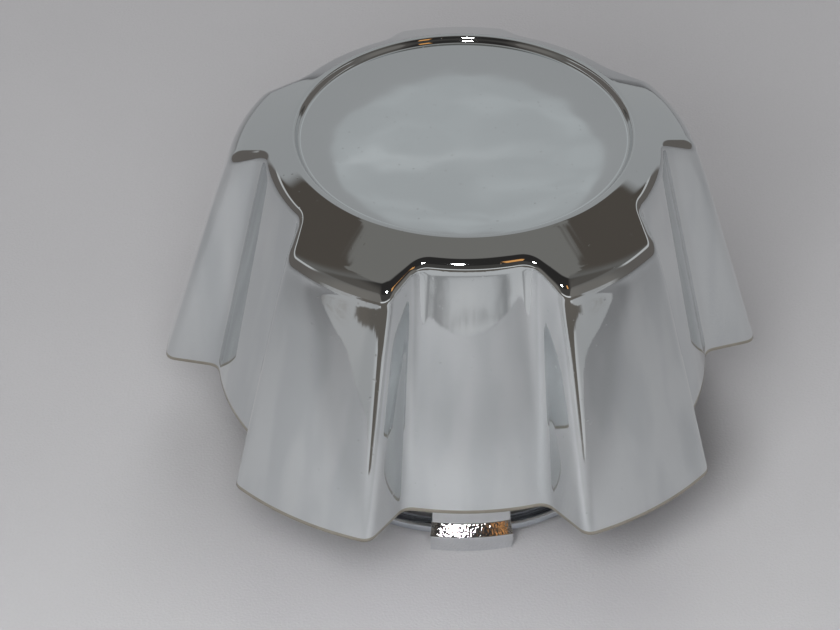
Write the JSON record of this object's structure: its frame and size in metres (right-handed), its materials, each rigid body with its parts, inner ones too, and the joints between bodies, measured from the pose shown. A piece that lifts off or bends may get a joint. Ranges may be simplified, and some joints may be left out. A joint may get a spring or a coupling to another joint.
{
  "type": "wheel centre cap",
  "caption": "Deep chrome wheel centre cap with a flat round face, a fluted skirt of lobes that cover the wheel nuts, snap legs and a wire retaining ring.",
  "frame": {"origin": "centre of the flat recessed face", "axes": "+Z out of the flat face along the axis of the cap, -Y through the middle of a valley between two lobes"},
  "size_m": [0.175, 0.1692, 0.1105],
  "materials": {
    "chrome_plating": "bright mirror chrome plating over moulded plastic",
    "spring_wire": "bright zinc-plated spring steel wire"
  },
  "bodies": {
    "root": {"cap_shell": "chrome_plating", "retaining_ring": "spring_wire"}
  },
  "joints": []
}
